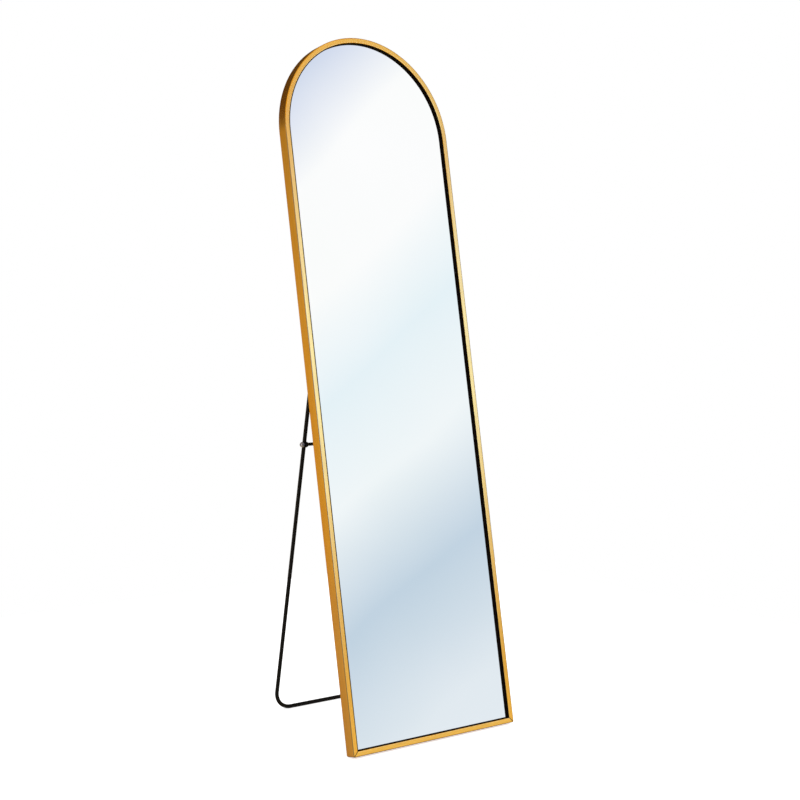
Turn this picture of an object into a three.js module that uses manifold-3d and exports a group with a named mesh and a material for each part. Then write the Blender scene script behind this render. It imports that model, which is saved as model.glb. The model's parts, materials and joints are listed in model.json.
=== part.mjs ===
// Leaning floor mirror: an arched glass in a gold aluminium frame, propped by a folding U stand of
// black steel rod. Millimetres, +Z up, X across the mirror, +Y towards the back. The origin lies on
// the floor, under the middle of the object.
import * as THREE from "three";
import { mergeVertices } from "three/addons/utils/BufferGeometryUtils.js";
import Module from "manifold-3d";

// ---- Driving dimensions -------------------------------------------------------------------------

// The mirror and the way it stands
const MIRROR_HEIGHT = 1400;
const MIRROR_WIDTH = 400;
const LEAN_DEGREES = 10.48; // how far the mirror leans back from upright
const FOOT_REACH = 378.5; // on the floor, from the mirror's front edge to the middle of the foot bar
const FIT_GAP = 0.3; // between pieces that touch or pass through each other

// The extruded frame section: a front channel for the glass and a rear channel for the corner keys
const FACE_WIDTH = 10.5;
const FRAME_WALL = 1.4;
const OUTER_ROUND = 1.2;
const FLANGE_EASE = 0.3;
const FOOT_ROUND = 3.5; // of the two outer corners at the foot
const KEY_CHANNEL = 4.3; // depth of the rear channel
const KEY_LIP = 1.6; // how far the channel's two lips reach over the keys

// The pack in the front channel, from the front: gasket, glass, foam, board
const GLASS_RECESS = 5.8; // from the frame's front face to the glass
const GLASS_THICKNESS = 4;
const GASKET_WEB = 1.5; // the gasket's wall round the glass edge
const GASKET_LIP = 0.8; // the lip that turns forward over the flange's inner edge
const GASKET_SETBACK = 0.3; // from the frame's front face to the lip
const FOAM_THICKNESS = 1;
const BOARD_THICKNESS = 4.7;

// Corner keys and their grub screws
const KEY_ARM = 34;
const KEY_THICKNESS = 2.5;
const KEY_SCREW_DIAMETER = 4;
const KEY_SCREW_FROM_END = 8;
const KEY_SOCKET_WIDTH = 2; // across the flats
const KEY_SOCKET_DEPTH = 2;

// The stand: one rod bent into a U, its two ends pressed flat and drilled for the hinge bolts
const ROD_DIAMETER = 8;
const STAND_SPREAD = 256; // between the middles of the legs
const BEND_RADIUS = 39; // of the rod's middle line
const PIVOT_HEIGHT = 930; // up the mirror from its bottom edge
const FOLD_CLEARANCE = 2.5; // between the frame's back and the folded stand
const BLADE_THICKNESS = 5;
const BLADE_BELOW_PIVOT = 14;
const PRESS_TAPER = 16; // from the flat blade to the round rod
const STOP_LENGTH = 4.5; // of the bevel that lands on the bracket when the stand is open

// Crossbar between the legs
const CROSSBAR_DROP = 352.5; // down the leg from the pivot
const CROSSBAR_DIAMETER = 6.5;
const COLLAR_DIAMETER = 12;
const COLLAR_LENGTH = 1.5;
const COLLAR_TAPER = 4.5;
const COPE_DEPTH = 1.6; // how far collars and washers reach round the leg
const SADDLE_DIAMETER = 11;
const SADDLE_THICKNESS = 1.2;
const CROSSBAR_SCREW_DIAMETER = 4;
const CROSSBAR_SCREW_BITE = 9; // how far the screw reaches into the crossbar
const CROSSBAR_HEAD_DIAMETER = 10;
const CROSSBAR_HEAD_HEIGHT = 3.6;
const BORE_SPARE = 2; // depth of the crossbar's bore past the screw's end

// Hinge brackets
const BRACKET_SHEET = 2;
const BRACKET_WIDTH = 44;
const BRACKET_MARGIN = 5; // the plate past the stand's stop
const BRACKET_CORNER = 5;
const EAR_FOOT = 24;
const EAR_ROUND = 8;
const EAR_CLEARANCE = 0.4;
const PLATE_SCREW_DIAMETER = 3;
const PLATE_SCREW_EDGE = 7; // from the plate's edge to the middle of a screw
const PLATE_HEAD_DIAMETER = 6;
const PLATE_HEAD_HEIGHT = 1.8;

// Hinge bolts
const BOLT_DIAMETER = 5;
const BOLT_HEAD_DIAMETER = 9;
const BOLT_HEAD_HEIGHT = 2.8;
const BOLT_PAST_NUT = 1.5;
const SOCKET_SHARE = 0.42; // of a screw head's diameter, across the hexagon's corners
const WASHER_DIAMETER = 10;
const WASHER_THICKNESS = 1;
const NUT_ACROSS_FLATS = 8;
const NUT_THICKNESS = 5;

// Facets
const ARCH_STEPS = 40;
const BEND_STEPS = 9;
const ROD_SIDES = 16;
const ROUND_STEPS = 3;
const CIRCLE_SIDES = 20;
const SCREW_SIDES = 12;
const HEX_SIDES = 6;
const DOME_STEPS = 3;
const CORNER_STEPS = 5;
const EAR_STEPS = 10;

const CUTTER_SPARE = 1; // how far a cutter reaches past what it cuts

// ---- Sizes that follow --------------------------------------------------------------------------

const LEAN = THREE.MathUtils.degToRad(LEAN_DEGREES);
const HALF_WIDTH = MIRROR_WIDTH / 2; // also the radius of the arched top
const SPRINGING = MIRROR_HEIGHT - HALF_WIDTH; // where the straight sides meet the arch

const FOAM_FRONT = GLASS_RECESS + GLASS_THICKNESS + FIT_GAP;
const BOARD_FRONT = FOAM_FRONT + FOAM_THICKNESS + FIT_GAP;
const BOARD_REAR = BOARD_FRONT + BOARD_THICKNESS;
const FIN_FRONT = BOARD_REAR + FIT_GAP; // the fin between the two channels
const FIN_REAR = FIN_FRONT + FRAME_WALL;
const LIP_FRONT = FIN_REAR + KEY_CHANNEL;
const FRAME_DEPTH = LIP_FRONT + FRAME_WALL;
const BOARD_INSET = FRAME_WALL + FIT_GAP;
const GLASS_INSET = BOARD_INSET + GASKET_WEB + FIT_GAP;

const ROD_RADIUS = ROD_DIAMETER / 2;
const LEG_X = STAND_SPREAD / 2;
const PLATE_FRONT = BOARD_REAR + FIT_GAP;
const PLATE_REAR = PLATE_FRONT + BRACKET_SHEET;
const PIVOT_DEPTH = FRAME_DEPTH + FOLD_CLEARANCE + ROD_RADIUS;
const PIVOT_OFF_PLATE = PIVOT_DEPTH - PLATE_REAR;

// The frame's lower rear edge rests on the floor.
const leaf = new THREE.Group();
leaf.rotation.x = -LEAN;
leaf.position.z = FRAME_DEPTH * Math.sin(LEAN);
leaf.updateMatrix();

// The leg is the line from the hinge to the foot bar, and its length is what that line measures.
const pivot = new THREE.Vector3(0, PIVOT_DEPTH, PIVOT_HEIGHT).applyMatrix4(leaf.matrix);
const footBar = new THREE.Vector3(0, FOOT_REACH, ROD_RADIUS);
const LEG_LENGTH = pivot.distanceTo(footBar);
const LEG_LEAN = Math.atan2(footBar.y - pivot.y, pivot.z - footBar.z);
const OPEN_ANGLE = LEAN + LEG_LEAN; // between the mirror and the leg

// A rod that is pressed to a thickness keeps its girth, so it spreads into a flat of this length.
const pressedFlat = (thickness) => (Math.PI * (ROD_DIAMETER - thickness)) / 2;
const BLADE_WIDTH = BLADE_THICKNESS + pressedFlat(BLADE_THICKNESS);
// Above the pivot the blade's front corner would first touch the plate here, and the bevel is longer.
const FIRST_TOUCH =
  (PIVOT_OFF_PLATE - FIT_GAP - (BLADE_WIDTH / 2) * Math.cos(OPEN_ANGLE)) / Math.sin(OPEN_ANGLE);
const STUB_LENGTH = FIRST_TOUCH + STOP_LENGTH;
const BRACKET_HEIGHT = 2 * (STUB_LENGTH + BRACKET_MARGIN);

const EAR_INNER = BLADE_THICKNESS / 2 + EAR_CLEARANCE;
const EAR_OUTER = EAR_INNER + BRACKET_SHEET;

// ---- Materials ----------------------------------------------------------------------------------

function finish(color, roughness, metalness) {
  return new THREE.MeshStandardMaterial({ color, roughness, metalness });
}

const goldAluminium = finish(0xc9923a, 0.35, 1);
const silvering = finish(0xe8eef2, 0.03, 1);
const blackRubber = finish(0x0b0b0b, 0.7, 0);
const whiteFoam = finish(0xe4e4de, 0.9, 0);
const fibreboard = finish(0x4a3b2c, 0.85, 0);
const blackSteel = finish(0x0a0a0c, 0.45, 0.2);
const zincSteel = finish(0x9b9ba0, 0.4, 1);

// ---- Geometry helpers ---------------------------------------------------------------------------

const wasm = await Module();
wasm.setup();

// A closed geometry as a solid that can be cut and joined
function solidOf(geometry) {
  const bare = geometry.index ? geometry.toNonIndexed() : geometry.clone();
  bare.deleteAttribute("normal");
  bare.deleteAttribute("uv");
  const merged = mergeVertices(bare, 1e-4);
  const mesh = new wasm.Mesh({
    numProp: 3,
    vertProperties: new Float32Array(merged.attributes.position.array),
    triVerts: new Uint32Array(merged.index.array),
  });
  return new wasm.Manifold(mesh);
}

function geometryOf(solid) {
  const mesh = solid.getMesh();
  const geometry = new THREE.BufferGeometry();
  geometry.setAttribute("position", new THREE.BufferAttribute(mesh.vertProperties, 3));
  geometry.setIndex(new THREE.BufferAttribute(mesh.triVerts, 1));
  return geometry;
}

function cut(geometry, ...cutters) {
  return geometryOf(cutters.reduce((body, cutter) => body.subtract(solidOf(cutter)), solidOf(geometry)));
}

function join(...geometries) {
  const [first, ...others] = geometries.map(solidOf);
  return geometryOf(others.reduce((body, other) => body.add(other), first));
}

// Skins a row of rings that share one outline, and caps both ends. The outline runs clockwise to
// someone who looks back from the far end.
function loft(outline, rings) {
  const sides = outline.length;
  const index = [];
  for (let ring = 0; ring + 1 < rings.length; ring++) {
    for (let side = 0; side < sides; side++) {
      const next = (side + 1) % sides;
      const [a, b] = [ring * sides + side, ring * sides + next];
      index.push(a, b + sides, b, a, a + sides, b + sides);
    }
  }
  const last = (rings.length - 1) * sides;
  for (const [a, b, c] of THREE.ShapeUtils.triangulateShape(outline, [])) {
    index.push(a, b, c, last + a, last + c, last + b);
  }
  const geometry = new THREE.BufferGeometry().setFromPoints(rings.flat());
  geometry.setIndex(index);
  return geometry;
}

// Revolves a profile of (radius, x) points about the X axis.
function turnedAlongX(profile, sideCount) {
  return new THREE.LatheGeometry(profile, sideCount).rotateZ(-Math.PI / 2);
}

function cylinderAlongX(radius, from, to, sideCount = CIRCLE_SIDES) {
  const length = to - from;
  const cylinder = new THREE.CylinderGeometry(radius, radius, length, sideCount);
  return cylinder.rotateZ(-Math.PI / 2).translate(from + length / 2, 0, 0);
}

function point(x, y) {
  return new THREE.Vector2(x, y);
}

// A round hole for a shape, clockwise as a hole in an anticlockwise outline is
function hole(x, y, radius) {
  const rim = [];
  for (let step = 0; step < CIRCLE_SIDES; step++) {
    const angle = (-2 * Math.PI * step) / CIRCLE_SIDES;
    rim.push(point(x + radius * Math.cos(angle), y + radius * Math.sin(angle)));
  }
  return new THREE.Path(rim);
}

function named(name, geometry, material) {
  const mesh = new THREE.Mesh(geometry, material.clone());
  mesh.name = name;
  return mesh;
}

const hands = [
  ["left", -1],
  ["right", 1],
];

// ---- Frame --------------------------------------------------------------------------------------
// In the leaf, x runs across the mirror, y backwards from the front face and z up the mirror.

// The extrusion's section as (inset from the outer edge, depth) points
function frameSection() {
  const outline = [];
  for (let step = 0; step <= ROUND_STEPS; step++) {
    const angle = Math.PI + (step / ROUND_STEPS) * (Math.PI / 2);
    const across = OUTER_ROUND * (1 + Math.cos(angle));
    outline.push(point(across, OUTER_ROUND * (1 + Math.sin(angle))));
  }
  const channelWall = FACE_WIDTH - FRAME_WALL;
  outline.push(
    point(FACE_WIDTH - FLANGE_EASE, 0),
    point(FACE_WIDTH, FLANGE_EASE),
    point(FACE_WIDTH, FRAME_WALL),
    point(FRAME_WALL, FRAME_WALL),
    point(FRAME_WALL, FIN_FRONT),
    point(FACE_WIDTH, FIN_FRONT),
    point(FACE_WIDTH, FRAME_DEPTH),
    point(channelWall - KEY_LIP, FRAME_DEPTH),
    point(channelWall - KEY_LIP, LIP_FRONT),
    point(channelWall, LIP_FRONT),
    point(channelWall, FIN_REAR),
    point(FRAME_WALL, FIN_REAR),
    point(FRAME_WALL, LIP_FRONT),
    point(FRAME_WALL + KEY_LIP, LIP_FRONT),
    point(FRAME_WALL + KEY_LIP, FRAME_DEPTH),
    point(0, FRAME_DEPTH),
  );
  return outline;
}

// The gasket lies between the front flange and the glass, turns back round the glass edge, and has a
// lip that turns forward over the flange's inner edge.
function gasketSection() {
  const outer = FRAME_WALL + FIT_GAP;
  const front = FRAME_WALL + FIT_GAP;
  const flangeEdge = FACE_WIDTH + FIT_GAP;
  const glass = GLASS_RECESS - FIT_GAP;
  return [
    point(outer, front),
    point(flangeEdge, front),
    point(flangeEdge, GASKET_SETBACK),
    point(flangeEdge + GASKET_LIP, GASKET_SETBACK),
    point(flangeEdge + GASKET_LIP, glass),
    point(outer + GASKET_WEB, glass),
    point(outer + GASKET_WEB, GLASS_RECESS + GLASS_THICKNESS),
    point(outer, GLASS_RECESS + GLASS_THICKNESS),
  ];
}

// Carries a section up one side, round the arch and down the other side. Both feet are mitred.
function archSweep(section) {
  const foot = (side) => section.map((p) => new THREE.Vector3(side * (HALF_WIDTH - p.x), p.y, p.x));
  const turn = (angle) =>
    section.map((p) => {
      const radius = HALF_WIDTH - p.x;
      return new THREE.Vector3(radius * Math.cos(angle), p.y, SPRINGING + radius * Math.sin(angle));
    });
  const rings = [foot(1)];
  for (let step = 0; step <= ARCH_STEPS; step++) {
    rings.push(turn((step / ARCH_STEPS) * Math.PI));
  }
  rings.push(foot(-1));
  return loft(section, rings);
}

// The straight length between the feet, mitred to meet them with the fit gap
function railSweep(section) {
  const half = HALF_WIDTH - FIT_GAP * Math.SQRT2;
  const end = (side) => section.map((p) => new THREE.Vector3(side * (half - p.x), p.y, p.x));
  return loft(section, [end(-1), end(1)]);
}

// A sheet that lies across the mirror, from one depth backwards
function sheet(shape, front, thickness) {
  const settings = { depth: thickness, bevelEnabled: false, curveSegments: ARCH_STEPS / 2 };
  const geometry = new THREE.ExtrudeGeometry(shape, settings);
  return geometry.translate(0, 0, -front - thickness).rotateX(Math.PI / 2);
}

// What the foot's two outer corners lose where the frame is rounded after the mitres are closed
const cornerWaste = hands.map(([, side]) => {
  const middle = HALF_WIDTH - FOOT_ROUND;
  const outline = [point(middle, -CUTTER_SPARE)];
  for (let step = 0; step <= CORNER_STEPS; step++) {
    const angle = (step / CORNER_STEPS - 1) * (Math.PI / 2);
    outline.push(point(middle + FOOT_ROUND * Math.cos(angle), FOOT_ROUND * (1 + Math.sin(angle))));
  }
  const beyond = HALF_WIDTH + CUTTER_SPARE;
  outline.push(point(beyond, FOOT_ROUND), point(beyond, -CUTTER_SPARE));
  const handed = side > 0 ? outline : outline.map((p) => point(-p.x, p.y)).reverse();
  return sheet(new THREE.Shape(handed), -CUTTER_SPARE, FRAME_DEPTH + 2 * CUTTER_SPARE);
});

leaf.add(
  named("frame_arch", cut(archSweep(frameSection()), ...cornerWaste), goldAluminium),
  named("bottom_rail", cut(railSweep(frameSection()), ...cornerWaste), goldAluminium),
  named("gasket_arch", archSweep(gasketSection()), blackRubber),
  named("gasket_bottom", railSweep(gasketSection()), blackRubber),
);

// ---- Glass, foam and board ----------------------------------------------------------------------

// The mirror's outline, drawn in from its outer edge
function archOutline(inset) {
  const radius = HALF_WIDTH - inset;
  const shape = new THREE.Shape();
  shape.moveTo(-radius, inset);
  shape.lineTo(radius, inset);
  shape.lineTo(radius, SPRINGING);
  shape.absarc(0, SPRINGING, radius, 0, Math.PI, false);
  shape.closePath();
  return shape;
}

// Where the plate screws stand, as (across, up) from each bracket's pivot
const plateScrews = [];
for (const across of [-1, 1]) {
  for (const up of [-1, 1]) {
    const x = across * (BRACKET_WIDTH / 2 - PLATE_SCREW_EDGE);
    plateScrews.push(point(x, up * (BRACKET_HEIGHT / 2 - PLATE_SCREW_EDGE)));
  }
}

const boardShape = archOutline(BOARD_INSET);
const screwHole = PLATE_SCREW_DIAMETER / 2 + FIT_GAP;
for (const [, side] of hands) {
  for (const screw of plateScrews) {
    boardShape.holes.push(hole(side * LEG_X + screw.x, PIVOT_HEIGHT + screw.y, screwHole));
  }
}

leaf.add(
  named("mirror_glass", sheet(archOutline(GLASS_INSET), GLASS_RECESS, GLASS_THICKNESS), silvering),
  named("foam_sheet", sheet(archOutline(GLASS_INSET), FOAM_FRONT, FOAM_THICKNESS), whiteFoam),
  named("backing_board", sheet(boardShape, BOARD_FRONT, BOARD_THICKNESS), fibreboard),
);

// ---- Corner keys --------------------------------------------------------------------------------

const KEY_INSET = FRAME_WALL + FIT_GAP;
const KEY_WIDTH = FACE_WIDTH - 2 * KEY_INSET;
const KEY_FRONT = LIP_FRONT - FIT_GAP - KEY_THICKNESS;
const KEY_MIDDLE = KEY_INSET + KEY_WIDTH / 2;

// Where a key's two grub screws stand, as insets from the mirror's side and bottom
const keyScrews = [
  ["upright", KEY_MIDDLE, KEY_INSET + KEY_ARM - KEY_SCREW_FROM_END],
  ["foot", KEY_INSET + KEY_ARM - KEY_SCREW_FROM_END, KEY_MIDDLE],
];

// An L plate that runs along the bottom rail and up the side
function cornerKey(side) {
  const x = (inset) => side * (HALF_WIDTH - inset);
  const [outer, inner, end] = [KEY_INSET, KEY_INSET + KEY_WIDTH, KEY_INSET + KEY_ARM];
  const outline = [
    point(x(outer), outer),
    point(x(outer), end),
    point(x(inner), end),
    point(x(inner), inner),
    point(x(end), inner),
    point(x(end), outer),
  ];
  const shape = new THREE.Shape(side > 0 ? outline : outline.reverse());
  for (const [, inset, up] of keyScrews) {
    shape.holes.push(hole(x(inset), up, KEY_SCREW_DIAMETER / 2 + FIT_GAP));
  }
  return sheet(shape, KEY_FRONT, KEY_THICKNESS);
}

// A headless screw that pushes the key off the fin, against the channel's lips
function grubScrew() {
  const length = KEY_CHANNEL - 2 * FIT_GAP;
  const radius = KEY_SCREW_DIAMETER / 2;
  const body = new THREE.CylinderGeometry(radius, radius, length, CIRCLE_SIDES);
  const across = KEY_SOCKET_WIDTH / Math.sqrt(3);
  const socket = new THREE.CylinderGeometry(across, across, 2 * KEY_SOCKET_DEPTH, HEX_SIDES);
  return cut(body, socket.translate(0, length / 2, 0));
}

for (const [hand, side] of hands) {
  leaf.add(named(`corner_key_${hand}`, cornerKey(side), zincSteel));
  for (const [arm, inset, up] of keyScrews) {
    const screw = named(`key_screw_${hand}_${arm}`, grubScrew(), zincSteel);
    screw.position.set(side * (HALF_WIDTH - inset), (FIN_REAR + LIP_FRONT) / 2, up);
    leaf.add(screw);
  }
}

// ---- Screws -------------------------------------------------------------------------------------

// A dome head screw along X: its head rises from x = 0, and its shank runs to -length.
function domeScrew(headDiameter, headHeight, diameter, length) {
  const profile = [point(0, -length), point(diameter / 2, -length), point(diameter / 2, 0)];
  for (let step = 0; step < DOME_STEPS; step++) {
    const angle = (step / DOME_STEPS) * (Math.PI / 2);
    profile.push(point((headDiameter / 2) * Math.cos(angle), headHeight * Math.sin(angle)));
  }
  profile.push(point(0, headHeight));
  const socketRadius = (headDiameter * SOCKET_SHARE) / 2;
  const socket = cylinderAlongX(socketRadius, headHeight / 2, headHeight + CUTTER_SPARE, HEX_SIDES);
  return cut(turnedAlongX(profile, SCREW_SIDES), socket);
}

// ---- Hinge brackets and bolts -------------------------------------------------------------------
// Each bracket is drawn about its pivot: x across, y backwards, z up the mirror.

function hingeBracket() {
  const plate = new THREE.Shape();
  const [halfWidth, halfHeight] = [BRACKET_WIDTH / 2, BRACKET_HEIGHT / 2];
  const [cornerX, cornerY] = [halfWidth - BRACKET_CORNER, halfHeight - BRACKET_CORNER];
  plate.absarc(cornerX, cornerY, BRACKET_CORNER, 0, Math.PI / 2, false);
  plate.absarc(-cornerX, cornerY, BRACKET_CORNER, Math.PI / 2, Math.PI, false);
  plate.absarc(-cornerX, -cornerY, BRACKET_CORNER, Math.PI, 1.5 * Math.PI, false);
  plate.absarc(cornerX, -cornerY, BRACKET_CORNER, 1.5 * Math.PI, 2 * Math.PI, false);
  plate.holes = plateScrews.map((screw) => hole(screw.x, screw.y, screwHole));
  const settings = { depth: BRACKET_SHEET, bevelEnabled: false, curveSegments: CORNER_STEPS };
  const plateSheet = new THREE.ExtrudeGeometry(plate, settings).rotateX(Math.PI / 2);
  plateSheet.translate(0, -PIVOT_OFF_PLATE, 0);

  const root = -PIVOT_OFF_PLATE - BRACKET_SHEET / 2;
  const ear = new THREE.Shape();
  ear.moveTo(root, -EAR_FOOT / 2);
  ear.lineTo(0, -EAR_ROUND);
  ear.absarc(0, 0, EAR_ROUND, -Math.PI / 2, Math.PI / 2, false);
  ear.lineTo(root, EAR_FOOT / 2);
  ear.closePath();
  ear.holes.push(hole(0, 0, BOLT_DIAMETER / 2 + FIT_GAP));
  const upright = new THREE.Matrix4().makeBasis(
    new THREE.Vector3(0, 1, 0),
    new THREE.Vector3(0, 0, 1),
    new THREE.Vector3(1, 0, 0),
  );
  const ears = hands.map(([, side]) => {
    const earSheet = new THREE.ExtrudeGeometry(ear, { ...settings, curveSegments: EAR_STEPS });
    return earSheet.applyMatrix4(upright).translate(side > 0 ? EAR_INNER : -EAR_OUTER, 0, 0);
  });
  return join(plateSheet, ...ears);
}

const WASHER_START = EAR_OUTER + FIT_GAP;
const NUT_START = WASHER_START + WASHER_THICKNESS + FIT_GAP;
const BOLT_LENGTH = WASHER_START + NUT_START + NUT_THICKNESS + BOLT_PAST_NUT;

// A ring or a hexagon nut with a bore, along X
function bored(radius, bore, from, thickness, sideCount) {
  const blank = cylinderAlongX(radius, from, from + thickness, sideCount);
  const drill = cylinderAlongX(bore, from - CUTTER_SPARE, from + thickness + CUTTER_SPARE);
  return cut(blank, drill);
}

for (const [hand, side] of hands) {
  const hinge = new THREE.Group();
  hinge.position.set(side * LEG_X, PIVOT_DEPTH, PIVOT_HEIGHT);
  hinge.add(named(`hinge_bracket_${hand}`, hingeBracket(), blackSteel));
  plateScrews.forEach((place, number) => {
    const head = [PLATE_HEAD_DIAMETER, PLATE_HEAD_HEIGHT];
    const length = BRACKET_SHEET + BOARD_THICKNESS;
    const screw = domeScrew(...head, PLATE_SCREW_DIAMETER, length);
    const mesh = named(`bracket_screw_${hand}_${number + 1}`, screw, zincSteel);
    mesh.rotation.z = Math.PI / 2;
    mesh.position.set(place.x, FIT_GAP - PIVOT_OFF_PLATE, place.y);
    hinge.add(mesh);
  });

  // The bolt's head is on the outer side, and its washer and nut are on the inner side.
  const fastening = new THREE.Group();
  fastening.rotation.z = side > 0 ? 0 : Math.PI;
  const bolt = domeScrew(BOLT_HEAD_DIAMETER, BOLT_HEAD_HEIGHT, BOLT_DIAMETER, BOLT_LENGTH);
  const bore = BOLT_DIAMETER / 2 + FIT_GAP;
  const washer = bored(WASHER_DIAMETER / 2, bore, -WASHER_START - WASHER_THICKNESS, WASHER_THICKNESS);
  const nutRadius = NUT_ACROSS_FLATS / Math.sqrt(3);
  const nut = bored(nutRadius, bore, -NUT_START - NUT_THICKNESS, NUT_THICKNESS, HEX_SIDES);
  fastening.add(
    named(`pivot_bolt_${hand}`, bolt.translate(WASHER_START, 0, 0), zincSteel),
    named(`pivot_washer_${hand}`, washer, zincSteel),
    named(`pivot_nut_${hand}`, nut, zincSteel),
  );
  hinge.add(fastening);
  leaf.add(hinge);
}

// ---- Stand --------------------------------------------------------------------------------------
// The stand is drawn about the hinge line: x across, y backwards from the legs, z up the legs.

// The rod's section where it is pressed to a thickness, as (across the press, along the flat) points
function rodSection(thickness) {
  const outline = [];
  for (let side = 0; side < ROD_SIDES; side++) {
    const angle = ((side + 0.5) / ROD_SIDES) * 2 * Math.PI;
    const along = (thickness / 2) * Math.sin(angle);
    const spread = (Math.sign(along) * pressedFlat(thickness)) / 2;
    outline.push(point((thickness / 2) * Math.cos(angle), along + spread));
  }
  return outline;
}

// One ring of the rod: its middle, the direction that points out of the U, and its thickness
function rodRing(x, z, outward, thickness) {
  const [outX, outZ] = [Math.cos(outward), Math.sin(outward)];
  return rodSection(thickness).map((p) => new THREE.Vector3(x + p.x * outX, p.y, z + p.x * outZ));
}

function standRod() {
  const legRings = (side, outward) => [
    rodRing(side * LEG_X, STUB_LENGTH, outward, BLADE_THICKNESS),
    rodRing(side * LEG_X, -BLADE_BELOW_PIVOT, outward, BLADE_THICKNESS),
    rodRing(side * LEG_X, -BLADE_BELOW_PIVOT - PRESS_TAPER, outward, ROD_DIAMETER),
  ];
  const bendX = LEG_X - BEND_RADIUS;
  const bendZ = BEND_RADIUS - LEG_LENGTH;
  const bendRings = (side, from) => {
    const rings = [];
    for (let step = 0; step <= BEND_STEPS; step++) {
      const outward = from - (step / BEND_STEPS) * (Math.PI / 2);
      const x = side * bendX + BEND_RADIUS * Math.cos(outward);
      rings.push(rodRing(x, bendZ + BEND_RADIUS * Math.sin(outward), outward, ROD_DIAMETER));
    }
    return rings;
  };
  const rod = loft(rodSection(ROD_DIAMETER), [
    ...legRings(1, 0),
    ...bendRings(1, 0),
    ...bendRings(-1, -Math.PI / 2),
    ...legRings(-1, -Math.PI).reverse(),
  ]);

  // Everything nearer to the bracket's plate than the fit gap comes off, which bevels the stubs so
  // that they land flat on the plates and stop the stand.
  const plateZone = new THREE.BoxGeometry(2 * STAND_SPREAD, BRACKET_HEIGHT, BRACKET_HEIGHT);
  plateZone.translate(0, FIT_GAP - PIVOT_OFF_PLATE - BRACKET_HEIGHT / 2, 0).rotateX(-OPEN_ANGLE);
  const bore = BOLT_DIAMETER / 2 + FIT_GAP;
  const screwBore = CROSSBAR_SCREW_DIAMETER / 2 + FIT_GAP;
  const drills = hands.flatMap(([, side]) => {
    const middle = side * LEG_X;
    const [from, to] = [middle - ROD_RADIUS - CUTTER_SPARE, middle + ROD_RADIUS + CUTTER_SPARE];
    const crossbarDrill = cylinderAlongX(screwBore, from, to).translate(0, 0, -CROSSBAR_DROP);
    return [cylinderAlongX(bore, from, to), crossbarDrill];
  });
  return cut(rod, plateZone, ...drills);
}

// The space that the legs take at the crossbar, with the fit gap round it
function legSpace(side) {
  const radius = ROD_RADIUS + FIT_GAP;
  const height = COLLAR_DIAMETER + 2 * CUTTER_SPARE;
  const leg = new THREE.CylinderGeometry(radius, radius, height, CIRCLE_SIDES);
  return leg.rotateX(Math.PI / 2).translate(side * LEG_X, 0, 0);
}

function crossbar() {
  const end = LEG_X - ROD_RADIUS + COPE_DEPTH;
  const collarInner = LEG_X - ROD_RADIUS - COLLAR_LENGTH;
  const bore = CROSSBAR_SCREW_DIAMETER / 2 + FIT_GAP;
  const boreEnd = LEG_X - ROD_RADIUS - CROSSBAR_SCREW_BITE - BORE_SPARE;
  const half = [
    point(0, boreEnd),
    point(bore, boreEnd),
    point(bore, end),
    point(COLLAR_DIAMETER / 2, end),
    point(COLLAR_DIAMETER / 2, collarInner),
    point(CROSSBAR_DIAMETER / 2, collarInner - COLLAR_TAPER),
  ];
  const mirrored = half.map((p) => point(p.x, -p.y)).reverse();
  const bar = turnedAlongX([...half, ...mirrored].reverse(), CIRCLE_SIDES);
  return cut(bar, ...hands.map(([, side]) => legSpace(side)));
}

// A washer with a hollow seat, so that a flat screw head sits on the round leg
function saddleWasher(side) {
  const [from, to] = [LEG_X + ROD_RADIUS - COPE_DEPTH, LEG_X + ROD_RADIUS + SADDLE_THICKNESS];
  const bore = CROSSBAR_SCREW_DIAMETER / 2 + FIT_GAP;
  const ring = bored(SADDLE_DIAMETER / 2, bore, from, to - from);
  ring.rotateZ(side > 0 ? 0 : Math.PI);
  return cut(ring, legSpace(side));
}

const stand = new THREE.Group();
stand.position.copy(pivot);
stand.rotation.x = LEG_LEAN;
stand.add(named("stand_frame", standRod(), blackSteel));

const brace = new THREE.Group();
brace.position.z = -CROSSBAR_DROP;
brace.add(named("crossbar", crossbar(), blackSteel));
for (const [hand, side] of hands) {
  const head = [CROSSBAR_HEAD_DIAMETER, CROSSBAR_HEAD_HEIGHT];
  const headSeat = ROD_RADIUS + SADDLE_THICKNESS + FIT_GAP;
  const length = headSeat + ROD_RADIUS + CROSSBAR_SCREW_BITE;
  const screw = domeScrew(...head, CROSSBAR_SCREW_DIAMETER, length);
  screw.translate(LEG_X + headSeat, 0, 0).rotateZ(side > 0 ? 0 : Math.PI);
  brace.add(
    named(`saddle_washer_${hand}`, saddleWasher(side), zincSteel),
    named(`crossbar_screw_${hand}`, screw, zincSteel),
  );
}
stand.add(brace);

// ---- The whole mirror ---------------------------------------------------------------------------

const floorMirror = new THREE.Group();
floorMirror.add(leaf, stand);
floorMirror.position.y = -(FOOT_REACH + ROD_RADIUS) / 2;

export default floorMirror;
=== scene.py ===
# %% [markdown]
# # A leaning floor mirror
#
# The object is a full-length mirror with an arched top. Its frame is one gold anodised aluminium
# extrusion, bent round the glass and mitred to a straight rail at the foot. Behind it, a U of black
# steel rod swings out on two hinges and props the mirror up.
#
# The solids were modelled first, in millimetres, and packed. Here they are loaded as a fixed frame,
# and each visible piece gets a finer surface or a better finish in the same place. Everything below
# is in metres, with +Z up, +X across the mirror and +Y towards its back.

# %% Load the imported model
import json
import math

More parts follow.
